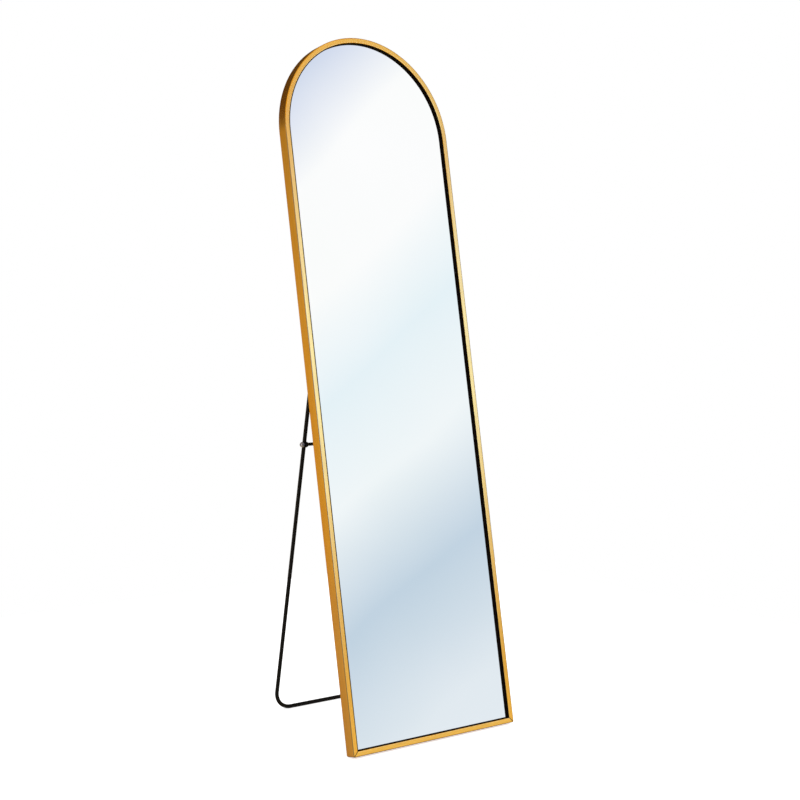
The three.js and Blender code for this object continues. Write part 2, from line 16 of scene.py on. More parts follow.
import bmesh
import bpy
import numpy as np
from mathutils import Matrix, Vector


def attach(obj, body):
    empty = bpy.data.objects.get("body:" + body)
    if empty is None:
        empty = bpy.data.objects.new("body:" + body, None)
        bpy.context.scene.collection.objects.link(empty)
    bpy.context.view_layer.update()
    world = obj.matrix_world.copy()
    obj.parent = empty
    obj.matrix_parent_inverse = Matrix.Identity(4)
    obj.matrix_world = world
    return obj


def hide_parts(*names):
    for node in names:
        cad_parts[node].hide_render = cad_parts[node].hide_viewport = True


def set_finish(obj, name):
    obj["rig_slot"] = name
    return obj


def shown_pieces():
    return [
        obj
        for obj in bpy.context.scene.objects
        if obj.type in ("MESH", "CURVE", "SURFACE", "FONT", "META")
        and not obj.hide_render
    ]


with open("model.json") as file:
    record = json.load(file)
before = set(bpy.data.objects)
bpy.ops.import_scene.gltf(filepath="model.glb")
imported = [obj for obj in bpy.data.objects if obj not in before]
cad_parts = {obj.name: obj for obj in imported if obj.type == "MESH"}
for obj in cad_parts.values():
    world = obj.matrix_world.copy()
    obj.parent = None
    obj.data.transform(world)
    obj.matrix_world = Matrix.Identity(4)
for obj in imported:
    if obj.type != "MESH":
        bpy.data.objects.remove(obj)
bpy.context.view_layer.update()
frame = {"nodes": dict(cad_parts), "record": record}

# %% [markdown]
# ## Two drawing boards
#
# The mirror leans back, so it is easiest to draw it upright on a board of its own: `u` across, `w`
# backwards from the frame's front face, `v` up the mirror. The stand leans the other way and gets a
# second board about its hinge line. Two short functions carry points from each board to the room.

# %% The leaning mirror and the stand as drawing boards
MM = 0.001
LEAN = math.radians(10.48)
FRAME_DEPTH = 23.5 * MM
ROD_RADIUS = 4 * MM
FOOT_REACH = 378.5 * MM
SETBACK = (FOOT_REACH + ROD_RADIUS) / 2
PIVOT_UP = 930 * MM
PIVOT_BACK = FRAME_DEPTH + 2.5 * MM + ROD_RADIUS
FIT_GAP = 0.3 * MM


def on_mirror(u, w, v):
    """In the room, v and w turn about x by the lean, and the frame's rear foot stands on the floor."""
    u, w, v = np.broadcast_arrays(u, w, v)
    y = v * math.sin(LEAN) + w * math.cos(LEAN) - SETBACK
    z = v * math.cos(LEAN) - w * math.sin(LEAN) + FRAME_DEPTH * math.sin(LEAN)
    return np.stack([u, y, z], -1)


PIVOT = on_mirror(0.0, PIVOT_BACK, PIVOT_UP)
LEG_RUN = SETBACK - ROD_RADIUS - PIVOT[1]
LEG_DROP = PIVOT[2] - ROD_RADIUS
LEG_LENGTH = math.hypot(LEG_RUN, LEG_DROP)
LEG_LEAN = math.atan2(LEG_RUN, LEG_DROP)


def on_stand(x, y, z):
    """In the room, z runs up the legs from the hinge line and y backwards, turned by the legs' lean."""
    x, y, z = np.broadcast_arrays(x, y, z)
    back = PIVOT[1] + y * math.cos(LEG_LEAN) - z * math.sin(LEG_LEAN)
    up = PIVOT[2] + y * math.sin(LEG_LEAN) + z * math.cos(LEG_LEAN)
    return np.stack([x, back, up], -1)


print("hinge line at", PIVOT.round(5), "m")
print("legs", round(LEG_LENGTH, 5), "m long, leaning", round(math.degrees(LEG_LEAN), 3), "degrees")

# %% [markdown]
# ## Camera
#
# A photograph pins its camera down once the object's size is known: the mirror's corners, the foot
# of the stand and the crossbar give its place, its turn and its focal length. The picture is square,
# so the lens follows from the focal length in pixels and the picture's width.

# %% The photograph's camera
PICTURE_WIDTH = 800
FOCAL_PIXELS = 1597.35
camera_data = bpy.data.cameras.new("photo_camera")
camera_data.sensor_width = 36.0
camera_data.lens = camera_data.sensor_width * FOCAL_PIXELS / PICTURE_WIDTH
camera_data.clip_start, camera_data.clip_end = 0.05, 100
camera = bpy.data.objects.new("photo_camera", camera_data)
camera.location = (-1.92549, -2.56297, 0.89650)
camera.rotation_euler = (math.radians(90 - 4.295), 0, math.radians(-37.716))
bpy.context.collection.objects.link(camera)
bpy.context.scene.camera = camera
bpy.context.scene.view_settings.view_transform = "Standard"
print("lens", round(camera_data.lens, 2), "mm at", tuple(camera.location))

# %% [markdown]
# ## Surfaces from grids
#
# Rods, rails, screws and washers are all an outline carried from station to station, so one helper
# makes them. It takes the stations as one array and joins each ring to the next with four-sided
# faces. The row of rings either gets a flat face at each end or, for a washer or a nut, closes on
# itself. The faces are turned outwards by the sign of the volume that they enclose.
#
# Each corner of a face can also carry two numbers, a place on a map. The gold needs this: its brushed
# streaks run along the metal, so they follow the length along and the length across, not the room.

# %% A skin over a row of rings
SHARP = math.radians(32)


def skin(name, rings, maps=None, closed=False):
    """Point j of station i is rings[i, j], and each cell of that grid becomes one face.

    A map holds one value per station and one per side; each corner of a face takes its own pair.
    """
    count, around = rings.shape[:2]
    station, side = np.meshgrid(np.arange(count if closed else count - 1), np.arange(around), indexing="ij")
    after, ahead = (side + 1) % around, (station + 1) % count
    corners = np.stack([station * around + side, station * around + after,
                        ahead * around + after, ahead * around + side], -1).reshape(-1)
    ends = [] if closed else [np.arange(around)[::-1], np.arange(around) + (count - 1) * around]
    starts = np.concatenate([np.arange(0, len(corners), 4), len(corners) + around * np.arange(len(ends))])
    loops = np.concatenate([corners, *ends])
    mesh = bpy.data.meshes.new(name)
    mesh.vertices.add(count * around)
    mesh.vertices.foreach_set("co", rings.reshape(-1).astype(np.float32))
    mesh.loops.add(len(loops))
    mesh.loops.foreach_set("vertex_index", loops.astype(np.int32))
    mesh.polygons.add(len(starts))
    mesh.polygons.foreach_set("loop_start", starts.astype(np.int32))
    for map_name, (along, across) in (maps or {}).items():
        cell = [(station, side), (station, side + 1), (station + 1, side + 1), (station + 1, side)]
        places = np.stack([np.stack([along[i], across[j]], -1) for i, j in cell], -2).reshape(-1, 2)
        places = np.concatenate([places, np.zeros((len(loops) - len(places), 2))])
        mesh.uv_layers.new(name=map_name).uv.foreach_set("vector", places.reshape(-1).astype(np.float32))
    mesh.update(calc_edges=True)
    mesh.validate()
    shape = bmesh.new()
    shape.from_mesh(mesh)
    if shape.calc_volume(signed=True) < 0:
        bmesh.ops.reverse_faces(shape, faces=shape.faces)
        shape.to_mesh(mesh)
    shape.free()
    return mesh


def placed(mesh, body, slot, *nodes):
    """Makes the piece: smooth, creased at sharp edges, with shading ruled by its large faces."""
    piece = bpy.data.objects.new(mesh.name, mesh)
    bpy.context.collection.objects.link(piece)
    mesh.shade_smooth()
    mesh.set_sharp_from_angle(angle=SHARP)
    even = piece.modifiers.new("Even shading", "WEIGHTED_NORMAL")
    even.keep_sharp = True
    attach(piece, body)
    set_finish(piece, slot)
    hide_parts(*nodes)
    return piece


# %% [markdown]
# ## Outlines with eased corners
#
# No real metal edge is sharp: an extrusion die, a press or a deburring wheel leaves a small radius,
# and that radius is what catches the light. An outline is written here as corners, each with the
# lengths over which it is eased before and after, and the helper bends a quarter of an ellipse into
# each of them. Two lengths that differ give a face that rolls over slowly and then drops away.

# %% Corners eased by a conic
def eased(corners, steps=5):
    """Each corner P becomes a conic from A to B, which lie on its two sides.

    Point s is ((1-s)^2 A + 2k s(1-s) P + s^2 B) / (sum of the weights), with k = cos 45.
    """
    table = np.array(corners, float)
    middle, before, after = table[:, :2], table[:, 2:3], table[:, 3:4]
    to_last = np.roll(middle, 1, 0) - middle
    to_next = np.roll(middle, -1, 0) - middle
    enter = middle + before * to_last / np.linalg.norm(to_last, axis=1, keepdims=True)
    leave = middle + after * to_next / np.linalg.norm(to_next, axis=1, keepdims=True)
    s = np.linspace(0, 1, steps)[None, :, None]
    weights = [(1 - s) ** 2, math.sqrt(2) * s * (1 - s), s**2]
    points = [enter[:, None], middle[:, None], leave[:, None]]
    curve = sum(w * p for w, p in zip(weights, points)) / sum(weights)
    return curve.reshape(-1, 2)


def length_along(outline):
    """Running length of a closed outline, with the full girth as the last value."""
    steps = np.linalg.norm(np.roll(outline, -1, 0) - outline, axis=1)
    return np.concatenate([[0], np.cumsum(steps)])


def drawn_in(outline, depth):
    """The outline moved inwards by a depth, square to the chord between each point's two neighbours."""
    ahead, behind = np.roll(outline, -1, 0), np.roll(outline, 1, 0)
    chord = (ahead - behind) / np.linalg.norm(ahead - behind, axis=1, keepdims=True)
    turning = np.sign(np.sum(outline[:, 0] * ahead[:, 1] - ahead[:, 0] * outline[:, 1]))
    return outline + depth * turning * np.stack([-chord[:, 1], chord[:, 0]], -1)


# %% [markdown]
# ## The gold frame
#
# The real frame is an aluminium extrusion with two channels: the front one holds the glass, the rear
# one the corner keys. It is stretch-bent round a former into an upside-down U. A sweep does the same
# thing: the section stays as it is, and its inset from the outer edge sets the radius it travels on.
# Both feet are cut at 45 degrees. The saw's edge is broken all round, so that the closed joint shows
# as a thin dark line, and the two outer corners are rounded off after the frame is put together.

# %% The extrusion's section, as (inset, depth, ease before, ease after) in millimetres
HALF_WIDTH = 200 * MM
SPRINGING = 1200 * MM
FACE, WALL = 10.2, 1.4
FIN, CHANNEL, BACK, LIP = 16.4, 22.1, 23.5, 1.6
EDGE = 0.25
section = eased([
    (0, 0, 0.8, 2.1),
    (FACE, 0, 1.8, 0.8),
    (FACE, WALL, EDGE, EDGE),
    (WALL, WALL, EDGE, EDGE),
    (WALL, FIN, EDGE, EDGE),
    (FACE, FIN, EDGE, EDGE),
    (FACE, BACK, 0.4, 0.4),
    (FACE - WALL - LIP, BACK, EDGE, EDGE),
    (FACE - WALL - LIP, CHANNEL, EDGE, EDGE),
    (FACE - WALL, CHANNEL, EDGE, EDGE),
    (FACE - WALL, FIN + WALL, EDGE, EDGE),
    (WALL, FIN + WALL, EDGE, EDGE),
    (WALL, CHANNEL, EDGE, EDGE),
    (WALL + LIP, CHANNEL, EDGE, EDGE),
    (WALL + LIP, BACK, EDGE, EDGE),
    (0, BACK, 0.6, 0.6),
], steps=7) * MM
print("section points", len(section), "girth", round(length_along(section)[-1], 4))

# %% Carry a section up, round and down, or straight across
FOOT_ROUND = 3.5 * MM
NEAR_CUT = np.array([0.5, 1, 1.8, 3, 5, 9, 16, 28]) * MM


def cut_rings(outline, edge):
    """Near a saw cut: drawn in by e(1 - sin t) and e(1 - cos t) away from it, a quarter circle."""
    turn = np.linspace(0, math.pi / 2, 5)
    shapes = np.array([drawn_in(outline, edge * (1 - math.sin(t))) for t in turn])
    return shapes, edge * (1 - np.cos(turn))


def stations(outline, edge, length, count):
    """Rings near a cut, then even ones up to a length: their shapes, and how far each is from the cut."""
    shapes, stand_off = cut_rings(outline, edge)
    near = NEAR_CUT + edge
    even = near[-1] + (length - near[-1]) * np.linspace(0, 1, count + 1)[1:]
    whole = np.broadcast_to(outline, (len(near) + count, *outline.shape))
    return np.concatenate([shapes, whole]), np.concatenate([stand_off, near, even])


def swept_arch(outline, edge, straight=24, around=120):
    """Inset i goes up x = R - i, round at radius R - i and down x = i - R.

    Each foot starts at z = i, which is the mitre.
    """
    shapes, along = stations(outline, edge, SPRINGING, straight)
    inset, depth, share = shapes[..., 0], shapes[..., 1], (along / SPRINGING)[:, None]
    right = np.stack([HALF_WIDTH - inset, depth, inset * (1 - share) + along[:, None]], -1)
    turn = np.linspace(0, math.pi, around + 1)[1:-1, None]
    radius, depth = np.broadcast_arrays(HALF_WIDTH - outline[None, :, 0], outline[None, :, 1] + 0 * turn)
    arc = np.stack([radius * np.cos(turn), depth, SPRINGING + radius * np.sin(turn)], -1)
    board = np.concatenate([right, arc, right[::-1] * np.array([-1, 1, 1])])
    whole = 2 * SPRINGING + math.pi * HALF_WIDTH
    return board, np.concatenate([along, SPRINGING + turn[:, 0] * HALF_WIDTH, whole - along[::-1]])


def swept_rail(outline, edge, straight=20):
    """Inset i runs at height z = i from x = i - R to R - i, a fit gap short of the arch's mitres."""
    half = HALF_WIDTH - FIT_GAP * math.sqrt(2)
    shapes, along = stations(outline, edge, half, straight)
    inset, depth, share = shapes[..., 0], shapes[..., 1], (along / half)[:, None]
    left = np.stack([(inset - half) * (1 - share), depth, inset], -1)
    board = np.concatenate([left, left[:-1][::-1] * np.array([-1, 1, 1])])
    return board, np.concatenate([along, 2 * half - along[:-1][::-1]])


def round_foot(u, v):
    """Inside the corner's square a point is pulled towards the square's inner corner.

    The share max(|du|, |dv|) / hypot(du, dv) of its distance is left, so squares become arcs.
    """
    du, dv = np.abs(u) - HALF_WIDTH + FOOT_ROUND, FOOT_ROUND - v
    inside = (du > 0) & (dv > 0)
    pull = np.where(inside, np.maximum(du, dv) / np.maximum(np.hypot(du, dv), 1e-12), 1)
    return np.where(inside, np.sign(u) * (HALF_WIDTH - FOOT_ROUND + du * pull), u), \
        np.where(inside, FOOT_ROUND - dv * pull, v)


def frame_piece(name, node, sweep, outline, edge, slot):
    """Sweeps an outline with two maps: lengths along and across, and nearest cut with outer side."""
    board, along = sweep(outline, edge)
    u, v = round_foot(board[..., 0], board[..., 2])
    girth = length_along(outline)
    on_side = np.clip((outline[:, 1] / MM - 0.1) / 1.2, 0, 1) * np.clip(1 - outline[:, 0] / MM, 0, 1)
    maps = {
        "along_across": (along, girth),
        "cut_side": (np.minimum(along, along[-1] - along), np.append(on_side, on_side[0])),
    }
    return placed(skin(name, on_mirror(u, board[..., 1], v), maps), "leaf", slot, node)


CUT_EDGE = 0.6 * MM
arch = frame_piece("gold_arch", "frame_arch", swept_arch, section, CUT_EDGE, "gold_aluminium")
rail = frame_piece("gold_rail", "bottom_rail", swept_rail, section, CUT_EDGE, "gold_aluminium")
print("arch faces", len(arch.data.polygons), "rail faces", len(rail.data.polygons))

# %% [markdown]
# ## The black liner
#
# Between the front flange and the glass runs a black plastic liner, with a thin lip that turns forward
# over the flange's inner edge. It shows as the dark wall that outlines the glass, once directly and
# once more in the mirror, and it hides the cut edges of the glass and of the flange. The same sweep
# makes it.

# %% Liner round the glass
GLASS_FRONT, GLASS_BACK = 5.8, 9.8
LINER_OUT = WALL + 0.3
FLANGE_EDGE = FACE + 0.15
LINER_LIP = 11.6
liner = eased([
    (LINER_OUT, LINER_OUT, 0.1, 0.1),
    (FLANGE_EDGE, LINER_OUT, 0.1, 0.1),
    (FLANGE_EDGE, 0.3, 0.15, 0.2),
    (LINER_LIP, 0.3, 0.3, 0.35),
    (LINER_LIP, GLASS_FRONT - 0.02, 0.15, 0.15),
    (LINER_OUT + 1.5, GLASS_FRONT - 0.02, 0.1, 0.1),
    (LINER_OUT + 1.5, GLASS_BACK, 0.1, 0.1),
    (LINER_OUT, GLASS_BACK, 0.1, 0.1),
], steps=4) * MM
LINER_EDGE = 0.05 * MM
liner_arch = frame_piece("liner_arch", "gasket_arch", swept_arch, liner, LINER_EDGE, "black_gasket")
liner_foot = frame_piece("liner_foot", "gasket_bottom", swept_rail, liner, LINER_EDGE, "black_gasket")
print("liner faces", len(liner_arch.data.polygons) + len(liner_foot.data.polygons))

# %% [markdown]
# ## The stand
#
# One length of 8 mm steel rod is bent into a U. Each end is pressed flat, which spreads it, and is
# drilled for its hinge bolt. The section is therefore a circle that turns into a flat with round
# edges and keeps its girth, and the path is two legs, two bends and the foot bar.

# %% Rod sections along the U
LEG_X = 128 * MM
BEND = 39 * MM
BLADE = 5 * MM
BLADE_BELOW, TAPER = 14 * MM, 16 * MM
OPEN = LEAN + LEG_LEAN
PLATE_BACK = 18.4 * MM
OFF_PLATE = PIVOT_BACK - PLATE_BACK
STOP_LENGTH = 4.5 * MM
blade_width = BLADE + math.pi * (2 * ROD_RADIUS - BLADE) / 2
first_touch = (OFF_PLATE - FIT_GAP - blade_width / 2 * math.cos(OPEN)) / math.sin(OPEN)
stub = first_touch + STOP_LENGTH
ROUND = 40


def rod_ring(x, z, outward, thickness, shrink=0.0):
    """A circle pressed to a thickness; its halves move apart along y, so that it keeps its girth."""
    angle = (np.arange(ROUND) + 0.5) / ROUND * 2 * math.pi
    spread = math.pi * (2 * ROD_RADIUS - thickness) / 4
    across = (thickness / 2 - shrink) * np.cos(angle)
    along = (thickness / 2 - shrink) * np.sin(angle) + np.sign(np.sin(angle)) * spread
    return np.stack([x + across * math.cos(outward), along, z + across * math.sin(outward)], -1)


leg = []
for below, shrink in [(0, 1.0), (0.3, 0.5), (0.7, 0.15), (1.2, 0)]:
    leg.append(rod_ring(LEG_X, stub - below * MM, 0, BLADE, shrink * MM))
for share in np.linspace(0, 1, 9):
    thickness = BLADE + (2 * ROD_RADIUS - BLADE) * share * share * (3 - 2 * share)
    leg.append(rod_ring(LEG_X, -BLADE_BELOW - TAPER * share, 0, thickness))
straight_top, straight_end = -BLADE_BELOW - TAPER, BEND - LEG_LENGTH
for share in np.linspace(0, 1, 26)[1:-1]:
    leg.append(rod_ring(LEG_X, straight_top + share * (straight_end - straight_top), 0, 2 * ROD_RADIUS))
for turn in np.linspace(0, -math.pi / 2, 25):
    x = LEG_X - BEND + BEND * math.cos(turn)
    leg.append(rod_ring(x, straight_end + BEND * math.sin(turn), turn, 2 * ROD_RADIUS))
for x in np.linspace(0.8, 0, 6) * (LEG_X - BEND):
    leg.append(rod_ring(x, -LEG_LENGTH, -math.pi / 2, 2 * ROD_RADIUS))
right_half = np.array(leg)
rod_board = np.concatenate([right_half, right_half[:-1][::-1] * np.array([-1, 1, 1])])
rod_mesh = skin("rod_blank", on_stand(rod_board[..., 0], rod_board[..., 1], rod_board[..., 2]))
print("rod stations", len(rod_board), "stub", round(stub, 5))

# %% [markdown]
# The top of each leg is a stub that leans against its bracket when the stand is open. It is ground
# to the bracket's angle, so the part that would pass the bracket's plate is cut off and capped. Then
# the four holes are drilled with an exact boolean, because here a real hole has to show its wall.

# %% Grind the stubs to the plates, then drill the rod
CROSSBAR_DROP = 352.5 * MM
HINGE_BORE, BRACE_BORE = 2.8 * MM, 2.3 * MM
DRILL_REACH = 7 * MM


def ground_to_plate(mesh):
    """Cuts off what is in front of a plane a fit gap behind the bracket's plate, and caps the cut."""
    shape = bmesh.new()
    shape.from_mesh(mesh)
    plane = Vector(on_mirror(0.0, PLATE_BACK + FIT_GAP, PIVOT_UP))
    front = Vector(on_mirror(0.0, 0.0, 0.0) - on_mirror(0.0, 1.0, 0.0))
    everything = shape.verts[:] + shape.edges[:] + shape.faces[:]
    cut = bmesh.ops.bisect_plane(shape, geom=everything, plane_co=plane, plane_no=front, clear_outer=True)
    rims = [e for e in cut["geom_cut"] if isinstance(e, bmesh.types.BMEdge)]
    bmesh.ops.edgeloop_fill(shape, edges=rims)
    shape.to_mesh(mesh)
    shape.free()


def drilled(blank, name, holes):
    """Takes a cylinder along x away at each (x, z, radius) of the stand's board."""
    turn = np.arange(32) / 32 * 2 * math.pi
    shape = bmesh.new()
    for x, z, radius in holes:
        back, up = radius * np.cos(turn), z + radius * np.sin(turn)
        ends = [on_stand(x + reach, back, up) for reach in (-DRILL_REACH, DRILL_REACH)]
        pin = skin("pin", np.array(ends))
        shape.from_mesh(pin)
        bpy.data.meshes.remove(pin)
    pins = bpy.data.meshes.new("pins")
    shape.to_mesh(pins)
    shape.free()
    cutter, body = bpy.data.objects.new("pins", pins), bpy.data.objects.new("blank", blank)
    for thing in (cutter, body):
        bpy.context.collection.objects.link(thing)
    bore = body.modifiers.new("Bores", "BOOLEAN")
    bore.object, bore.operation, bore.solver = cutter, "DIFFERENCE", "EXACT"
    mesh = bpy.data.meshes.new_from_object(body.evaluated_get(bpy.context.evaluated_depsgraph_get()))
    mesh.name = name
    for thing in (cutter, body):
        bpy.data.objects.remove(thing)
    return mesh


ground_to_plate(rod_mesh)
bores = [(0, HINGE_BORE), (-CROSSBAR_DROP, BRACE_BORE)]
holes = [(side * LEG_X, z, radius) for side in (-1, 1) for z, radius in bores]
stand_rod = placed(drilled(rod_mesh, "stand_rod", holes), "stand", "black_steel", "stand_frame")
print("rod faces", len(stand_rod.data.polygons))

# %% [markdown]
# ## The crossbar and its screws
#
# Screws, washers and the crossbar are turned on a lathe: a profile of (radius, place along the axis)
# goes once round. What isn't round is added to the rings as arrays: the hollow where a collar or a
# saddle washer fits the leg, and the six-sided socket in a screw head.

# %% A profile turned about x, and its end hollowed to fit a leg
def turned(profile, around=48):
    """Ring i is the circle of the profile's radius i at its place i: (place, r cos t, r sin t)."""
    radius, place = (np.array(profile, float) * MM).T
    angle = np.arange(around) / around * 2 * math.pi
    return np.stack([np.broadcast_to(place[:, None], (len(place), around)),
                     radius[:, None] * np.cos(angle), radius[:, None] * np.sin(angle)], -1)


def coped(rings, leg_at, sign):
    """Holds x on one side of the leg's surface, leg_at -+ sqrt(r^2 - y^2), with the fit gap in r."""
    height = np.sqrt(np.maximum((ROD_RADIUS + FIT_GAP) ** 2 - rings[..., 1] ** 2, 0))
    keep = np.minimum if sign < 0 else np.maximum
    rings[..., 0] = keep(rings[..., 0], leg_at + sign * height)
    return rings


def on_crossbar(rings, side=1):
    return on_stand(side * rings[..., 0], rings[..., 1], rings[..., 2] - CROSSBAR_DROP)


half_profile = [
    (3.25, 0), (3.25, 60), (3.25, 110), (3.25, 116.4),
    (3.35, 118), (3.8, 119), (4.6, 120.2), (5.5, 121.5), (5.8, 122.1), (5.97, 122.6),
    (6, 123.2), (6, 124.6), (5.9, 125.2), (5.6, 125.6), (4, 125.6), (2.3, 125.6),
]
half = coped(turned(half_profile), LEG_X, -1)
bar = np.concatenate([half[1:][::-1] * np.array([-1, 1, 1]), half])
crossbar = placed(skin("crossbar_rod", on_crossbar(bar)), "stand", "black_steel", "crossbar")
print("crossbar faces", len(crossbar.data.polygons))

# %% Screws with a domed head and a six-sided socket
SOCKET_SHARE = 0.21


def dome_screw(head, rise, shank, length, around=48):
    """Circles make the shank, the underside and the dome; hexagons go down to the socket's floor.

    The dome's ring t has radius cos t and height sin t, as shares of the head's.
    """
    turn = np.linspace(0, math.pi / 2, 10)
    socket = SOCKET_SHARE * head
    lift = 0.12
    dome = [(head / 2 * math.cos(t), lift + (rise - lift) * math.sin(t)) for t in turn]
    dome = [(r, h) for r, h in dome if r > socket * 1.15]
    rings = turned([(shank * 0.3, -length), (shank * 0.42, -length), (shank / 2, -length + 0.08 * shank),
                    (shank / 2, 0), (head / 2 - lift, 0), *dome], around)
    angle = np.arange(around) / around * 2 * math.pi
    corner = (angle + math.pi / 6) % (math.pi / 3) - math.pi / 6
    hexagon = socket * math.cos(math.pi / 6) / np.cos(corner) * MM
    rim = rise * MM
    steps = [(1.06, rim), (1.0, rim - 0.1 * MM), (1.0, rim * 0.5), (0.95, rim * 0.46), (0.3, rim * 0.4)]
    well = [np.stack([np.full(around, h), s * hexagon * np.cos(angle), s * hexagon * np.sin(angle)], -1)
            for s, h in steps]
    return np.concatenate([rings, np.array(well)])


HEAD_SEAT = 5.5
brace_screw = dome_screw(head=10, rise=3.6, shank=4, length=HEAD_SEAT + 13)
brace_screw += np.array([LEG_X + HEAD_SEAT * MM, 0, 0])
saddle = [(2.35, 2.4), (3, 2.4), (3.8, 2.4), (4.6, 2.4), (5.3, 2.4), (5.5, 2.6), (5.5, 4.9), (5.42, 5.1),
          (5.2, 5.2), (2.6, 5.2), (2.35, 5.0)]
seat = coped(turned(saddle) + np.array([LEG_X, 0, 0]), LEG_X, 1)
for hand, side in (("left", -1), ("right", 1)):
    screw = skin(f"brace_screw_{hand}", on_crossbar(brace_screw, side))
    washer = skin(f"saddle_{hand}", on_crossbar(seat, side), closed=True)
    placed(screw, "stand", "zinc_steel", f"crossbar_screw_{hand}")
    placed(washer, "stand", "zinc_steel", f"saddle_washer_{hand}")
print("screw heads seated at", LEG_X + HEAD_SEAT * MM)

# %% [markdown]
# ## The hinges
#
# Each hinge is a bracket of 2 mm sheet with two ears, screwed to the backing board, and a bolt that
# passes the ears and the pressed end of the rod. Its washer and nut sit on the inner side. Bolt,
# washer and nut are rings again, drawn about the hinge and then put on the leaning mirror. The nut's
# corners are cut by a cone at both ends, as on every pressed nut.

# %% Bolts, washers and nuts about each hinge
EAR_OUTER, SEAT_GAP = 4.9, 0.3
WASHER_THICKNESS, NUT_THICKNESS, NUT_FLATS = 1, 5, 8
BOLT_RISE, BOLT_END = 2.8, 1.5


def on_hinge(rings, side):
    """Rings drawn about a hinge: x outwards along the bolt, y backwards, z up the mirror."""
    return on_mirror(side * (LEG_X + rings[..., 0]), PIVOT_BACK + rings[..., 1], PIVOT_UP + rings[..., 2])


def nut_rings(flats, thickness, bore, around=72):
    """Outside, r is the smaller of the hexagon and a cone at each end; inside is the bore's circle."""
    angle = np.arange(around) / around * 2 * math.pi
    hexagon = flats / 2 / np.cos((angle + math.pi / 6) % (math.pi / 3) - math.pi / 6)
    cones = [(0, 0.96), (0.25, 1.05), (0.55, 1.16)]
    outside = cones + [(thickness - place, cone) for place, cone in reversed(cones)]
    radii = [np.minimum(hexagon, flats / 2 * cone) for _, cone in outside]
    inside = [(thickness, bore + 0.35), (thickness - 0.35, bore), (0.35, bore), (0, bore + 0.35)]
    radii += [np.full(around, radius) for _, radius in inside]
    places = np.array([place for place, _ in outside + inside])[:, None]
    radii = np.array(radii)
    board = np.broadcast_arrays(places, radii * np.cos(angle), radii * np.sin(angle))
    return np.stack(board, -1) * MM


seat_at = EAR_OUTER + SEAT_GAP
washer_end = -seat_at - WASHER_THICKNESS
nut_end = washer_end - SEAT_GAP - NUT_THICKNESS
bolt = dome_screw(head=9, rise=BOLT_RISE, shank=5, length=seat_at - nut_end + BOLT_END)
bolt += np.array([seat_at * MM, 0, 0])
flat_ring = [(4.9, 0), (5, 0.1), (5, 0.9), (4.9, 1), (2.9, 1), (2.8, 0.9), (2.8, 0.1), (2.9, 0)]
washer = turned(flat_ring) + np.array([washer_end * MM, 0, 0])
nut = nut_rings(NUT_FLATS, NUT_THICKNESS, HINGE_BORE / MM) + np.array([nut_end * MM, 0, 0])
for hand, side in (("left", -1), ("right", 1)):
    placed(skin(f"hinge_bolt_{hand}", on_hinge(bolt, side)), "leaf", "zinc_steel", f"pivot_bolt_{hand}")
    for name, rings, node in (("hinge_washer", washer, "pivot_washer"), ("hinge_nut", nut, "pivot_nut")):
        mesh = skin(f"{name}_{hand}", on_hinge(rings, side), closed=True)
        placed(mesh, "leaf", "zinc_steel", f"{node}_{hand}")
print("bolt", round(seat_at + BOLT_RISE, 2), "mm out to", round(nut_end - BOLT_END, 2), "mm in")

# %% Screws that hold the brackets
BRACKET_WIDTH, SCREW_EDGE = 44, 7
across_from = BRACKET_WIDTH / 2 - SCREW_EDGE
up_from = stub / MM + 5 - SCREW_EDGE
plate_screw = dome_screw(head=6, rise=1.8, shank=3, length=6.7, around=36)[..., [1, 0, 2]]
plate_screw += np.array([0, FIT_GAP - OFF_PLATE, 0])
places = [(x * across_from, z * up_from) for x in (-1, 1) for z in (-1, 1)]
for hand, side in (("left", -1), ("right", 1)):
    for number, (x, z) in enumerate(places, 1):
        rings = plate_screw + np.array([side * x * MM, 0, z * MM])
        mesh = skin(f"plate_screw_{hand}_{number}", on_hinge(rings, side))
        placed(mesh, "leaf", "zinc_steel", f"bracket_screw_{hand}_{number}")
print("bracket screws", 2 * len(places), "at", round(across_from, 2), "by", round(up_from, 2), "mm")

# %% [markdown]
# The brackets and the corner keys are flat sheet with holes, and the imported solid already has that
# shape to the tenth of a millimetre. So a copy of it is kept: its loose triangles are merged, those
# that lie flat together are joined, and a Bevel breaks its edges as a tumbler does to stamped parts.

# %% Stamped sheet pieces with broken edges
STAMPED_EDGE = 0.3 * MM


def stamped(name, node, slot, edge=STAMPED_EDGE):
    """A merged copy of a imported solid, with every edge sharper than 40 degrees bevelled."""
    mesh = frame["nodes"][node].data.copy()
    mesh.name = name
    shape = bmesh.new()
    shape.from_mesh(mesh)
    bmesh.ops.remove_doubles(shape, verts=shape.verts, dist=1e-6)
    bmesh.ops.dissolve_limit(shape, angle_limit=math.radians(0.5), verts=shape.verts, edges=shape.edges)
    shape.to_mesh(mesh)
    shape.free()
    piece = placed(mesh, "leaf", slot, node)
    bevel = piece.modifiers.new("Broken edges", "BEVEL")
    bevel.width, bevel.segments, bevel.limit_method = edge, 2, "ANGLE"
    bevel.angle_limit = math.radians(40)
    bevel.use_clamp_overlap = True
    piece.modifiers.move(1, 0)
    return piece


for hand in ("left", "right"):
    stamped(f"bracket_{hand}", f"hinge_bracket_{hand}", "black_steel")
    stamped(f"key_{hand}", f"corner_key_{hand}", "zinc_steel", edge=0.2 * MM)
    for arm in ("upright", "foot"):
        stamped(f"key_grub_{hand}_{arm}", f"key_screw_{hand}_{arm}", "zinc_steel", edge=0.15 * MM)

# %% [markdown]
# ## Finishes
#
# Each finish reads either the piece's own map, where a pattern has to follow the metal, or object
# coordinates, where it only has to stay put. Noise is the raw material of all of them: stretched it
# makes brushing and fibres, fine it makes the grain of a coating, coarse it makes uneven colour.

